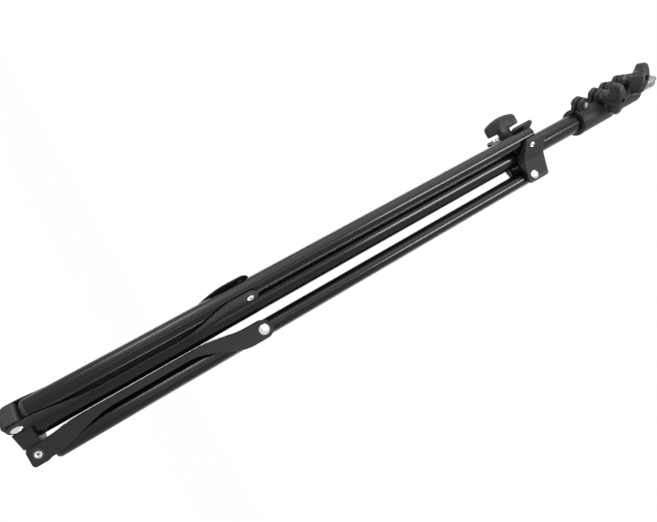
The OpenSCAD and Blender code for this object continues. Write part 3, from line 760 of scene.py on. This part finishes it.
zinc = Finish("bright_zinc", metallic=1.0)
plating = zinc.cloud(0.0009, detail=4.0, roughness=0.65)
zinc.wear(zinc.blend(plating, tone(168, 170, 174), tone(206, 208, 210)), 0.28 + 0.2 * plating)
zinc.relief(plating, depth=0.00002, strength=0.4)
for clamp, body in (("clamp_1", "column"), ("clamp_2", "middle_section")):
    low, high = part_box(clamp + "_fixing_bolt")
    middle = (low + high) / 2
    bolt_way = Vector(joints[clamp + "_knob_turn"]["axis"])
    steel = Finish(clamp + "_smoked_nut", metallic=1.0)
    subtract, cross = {"operation": "SUBTRACT"}, {"operation": "CROSS_PRODUCT"}
    off_middle = steel.add("ShaderNodeVectorMath", subtract, {0: steel.place, 1: middle})
    crossed = steel.add("ShaderNodeVectorMath", cross, {0: off_middle, 1: bolt_way})
    off_axis = steel.add("ShaderNodeVectorMath", {"operation": "LENGTH"}, {0: crossed}, "Value")
    bolt_edge = (0.0024, 0.0027)
    nut = off_axis.ramp(*bolt_edge)
    soot = steel.cloud(0.0009, detail=4.0, roughness=0.65)
    dark = steel.blend(soot, tone(70, 70, 73), tone(112, 113, 116))
    steel.wear(steel.blend(nut, tone(206, 208, 210), dark), 0.24 + 0.12 * nut + 0.14 * soot)
    steel.relief(soot, depth=0.00002, strength=0.4)
    fixing = rounded(clamp + "_fixing_bolt", radius=0.0003, segments=2, finish=steel)
    settle(fixing, body, "bolt_zinc", clamp + "_fixing_bolt")
zinc.coat("collar_knob_bolt", "clamp_1_knob_bolt", "clamp_2_knob_bolt", "stud_pin")
zinc.coat("clamp_1_nut", "clamp_2_nut")


# Stud
# The fitting on top, turned from steel bar and plated: a 16 mm spigot with a groove for the lamp's
# locking screw and a quarter inch threaded tip. The lathe has left fine rings, and the thread is a
# ridge wound round the tip's core.
turned = Finish("turned_stud", metallic=1.0)
tool_feed = 0.00022
tool_rings = (turned.along("Z") * (2 * math.pi / tool_feed)).sine() * 0.5 + 0.5
haze = turned.cloud(0.004, stretch=(1, 1, 0.5), detail=3.0, roughness=0.6)
# The plated grey is set much darker than plated steel's own, as a painted reflection of dark
# surroundings.
turned.wear(turned.blend(haze, tone(116, 117, 119), tone(148, 149, 151)), 0.30 + 0.12 * haze)
turned.relief(tool_rings * 0.6 + haze * 0.4, depth=0.00001, strength=0.2)
tip_length = 0.010
tip_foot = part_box("stud")[1].z - tip_length


def thread_core(form):
    """Turns the tip down to the core of its thread."""
    tip_reach, thread_depth, slack = 0.0035, 0.00055, 0.00001
    for vert in form.verts:
        reach = math.hypot(vert.co.x, vert.co.y)
        if vert.co.z > tip_foot - slack and slack < reach < tip_reach:
            vert.co.x *= (reach - thread_depth) / reach
            vert.co.y *= (reach - thread_depth) / reach


stud = rounded("stud", radius=0.0002, segments=2, finish=turned, shape=thread_core)
settle(stud, "top_section", "stud_nickel", "stud")

thread = Recipe("thread", {"Middle": 0.00277, "Ridge": 0.0004, "Pitch": 0.00127, "Length": 0.0086})
sockets = {
    "Resolution": 28, "Rotations": thread.given("Length") / thread.given("Pitch"),
    "Start Radius": thread.given("Middle"), "End Radius": thread.given("Middle"),
    "Height": thread.given("Length"),
}
helix = thread.add("GeometryNodeCurveSpiral", {}, sockets, "Curve")
sockets = {"Resolution": 8, "Radius": thread.given("Ridge")}
ridge = thread.add("GeometryNodeCurvePrimitiveCircle", {}, sockets, "Curve")
sockets = {"Curve": helix, "Profile Curve": ridge, "Fill Caps": True}
coil = thread.add("GeometryNodeCurveToMesh", {}, sockets)
sockets = {"Points": thread.given("Geometry"), "Instance": coil}
thread.end(thread.add("GeometryNodeInstanceOnPoints", {}, sockets), turned)
run_in = 0.0006
tip_thread = thread.make("stud_tip_thread", [(0.0, 0.0, tip_foot + run_in)], {}, {}, crease=60)
settle(tip_thread, "top_section", "stud_nickel")


# Floor, lamps and camera
# A white sweep at the level of the opened feet, a large soft window on the left for the grey sheen
# on the tubes, and long narrow lamps for the thin bright lines along them. The lamps marked as
# sheen light the gloss alone.
def seen_rays(graph):
    """1 on rays that the camera sees, straight, mirrored or through glass, and 0 on others."""
    ray = graph.nodes.new("ShaderNodeLightPath")
    seen = Wire(graph, ray.outputs["Is Camera Ray"])
    for kind in ("Is Glossy Ray", "Is Transmission Ray"):
        seen = seen.at_least(Wire(graph, ray.outputs[kind]))
    return seen


floor_reach, floor_level = 8.0, -0.0745
corners = ((-1, -1), (1, -1), (1, 1), (-1, 1))
floor_mesh = bpy.data.meshes.new("floor")
floor_mesh.from_pydata(
    [(x * floor_reach, y * floor_reach, floor_level) for x, y in corners], [], [(0, 1, 2, 3)]
)
floor = placed("floor", floor_mesh)
sweep = bpy.data.materials.new("white_sweep")
sweep.use_nodes = True
paper = Graph(sweep.node_tree)
paper.nodes.clear()
matt = paper.add("ShaderNodeBsdfDiffuse", {}, {"Color": (0.86, 0.86, 0.86, 1)})
bright = paper.add("ShaderNodeEmission", {}, {"Color": (1, 1, 1, 1), "Strength": 1.0})
white = paper.add("ShaderNodeMixShader", {}, {0: seen_rays(paper) * 0.99, 1: matt, 2: bright})
paper.add("ShaderNodeOutputMaterial", {}, {"Surface": white})
floor_mesh.materials.append(sweep)

world = bpy.data.worlds.new("studio")
world.use_nodes = True
bpy.context.scene.world = world
air = Graph(world.node_tree)
air.nodes.clear()
fill_light = 0.35
level = fill_light + (1 - fill_light) * seen_rays(air)
studio = air.add("ShaderNodeBackground", {}, {"Color": (1, 1, 1, 1), "Strength": level})
air.add("ShaderNodeOutputWorld", {}, {"Surface": studio})

upright = Vector((0, 0, 1))
lamp_distance = 1.3
for name, degrees, width, low, high, radiance, sheen in (
    ("window", -50, 2.2, -0.5, 1.9, 1.9, False),
    ("window_sheen", -50, 2.2, -0.5, 1.9, 5.0, True),
    ("strip_high", 15, 0.28, 0.90, 1.80, 26.0, True),
    ("strip_low", -56, 0.30, -0.45, 0.25, 26.0, True),
    ("strip_front", 12, 0.20, -0.40, 1.80, 3.0, False),
    ("strip_right", 112, 0.14, -0.40, 1.70, 7.0, False),
    ("strip_back", -135, 0.14, -0.40, 1.70, 7.0, False),
    ("window_back", 160, 1.4, -0.30, 1.60, 1.2, False),
):
    lamp = bpy.data.lights.new(name, "AREA")
    lamp.shape = "RECTANGLE"
    lamp.size = width
    lamp.size_y = high - low
    lamp.energy = radiance * math.pi * width * (high - low)
    holder = placed(name, lamp)
    way = Vector((math.sin(math.radians(degrees)), -math.cos(math.radians(degrees)), 0))
    lamp_axes = Matrix((upright.cross(way), upright, way)).transposed().to_4x4()
    middle = upright * ((low + high) / 2)
    holder.matrix_world = Matrix.Translation(middle + way * lamp_distance) @ lamp_axes
    holder.visible_camera = False
    holder.visible_diffuse = not sheen

azimuth, elevation, roll = math.radians(-1.542), math.radians(17.808), math.radians(60.857)
camera_place = Vector((-0.01162, -0.47777, 0.14219))
focal_pixels, photo_width = 519.6, 657
forward = Vector((
    -math.sin(azimuth) * math.cos(elevation), math.cos(azimuth) * math.cos(elevation),
    math.sin(elevation),
))
level_right = forward.cross(upright).normalized()
level_up = level_right.cross(forward)
right = level_right * math.cos(roll) + level_up * math.sin(roll)
upward = level_up * math.cos(roll) - level_right * math.sin(roll)
camera_data = bpy.data.cameras.new("camera")
camera_data.sensor_width = 36.0
camera_data.lens = focal_pixels * camera_data.sensor_width / photo_width
camera_data.clip_start = 0.01
camera = placed("camera", camera_data)
camera_axes = Matrix((right, upward, -forward)).transposed().to_4x4()
camera.matrix_world = Matrix.Translation(camera_place) @ camera_axes
bpy.context.scene.camera = camera
bpy.context.scene.view_settings.view_transform = "Standard"
